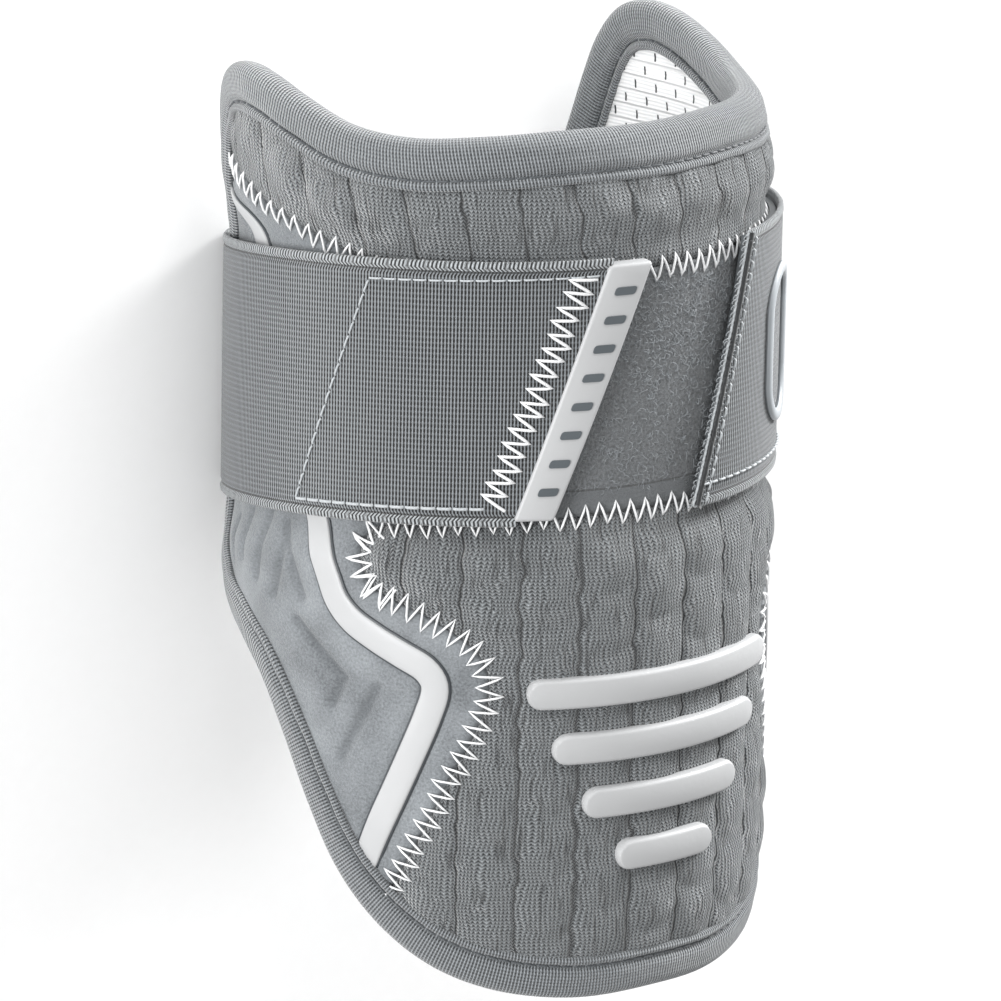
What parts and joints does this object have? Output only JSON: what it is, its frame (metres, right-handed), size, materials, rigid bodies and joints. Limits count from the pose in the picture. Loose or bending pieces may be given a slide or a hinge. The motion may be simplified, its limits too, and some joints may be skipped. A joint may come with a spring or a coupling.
{
  "type": "baseball elbow guard",
  "caption": "Padded elbow guard: an open-backed foam cuff with knit and moulded panels, a bound edge, a mesh lining and a wide elastic strap that closes on hook and loop.",
  "frame": {"origin": "under the middle of the guard, on the surface it lies on, which is the outer face of the strap's back stretch", "axes": "+Y up the arm, from the tongue over the elbow to the upper rim; +Z out of the front of the guard; +X to the right of someone who faces the front with the upper rim up"},
  "size_m": [0.107, 0.174, 0.0917],
  "materials": {
    "knit": "quilted chevron knit, matt",
    "moulded_foam": "brushed cloth over moulded foam",
    "binding_tape": "ribbed knitted tape",
    "elastic": "woven elastic webbing",
    "loop_pile": "brushed loop pile",
    "hook_tape": "hook tape",
    "lining_mesh": "slit spacer mesh",
    "white_rubber": "smooth, satin",
    "grey_rubber": "smooth, satin"
  },
  "bodies": {
    "root": {"mesh_lining": "lining_mesh", "upper_knit_panel": "knit", "lower_knit_panel": "knit", "loop_band": "loop_pile", "left_side_panel": "moulded_foam", "right_side_panel": "moulded_foam", "edge_binding": "binding_tape", "elastic_strap": "elastic", "left_hook_pad": "hook_tape", "right_hook_pad": "hook_tape", "pull_tab": "white_rubber", "grip_ring": "grey_rubber", "left_accent_strip": "white_rubber", "right_accent_strip": "white_rubber", "impact_rib_1": "white_rubber", "impact_rib_2": "white_rubber", "impact_rib_3": "white_rubber", "impact_rib_4": "white_rubber"}
  },
  "joints": []
}
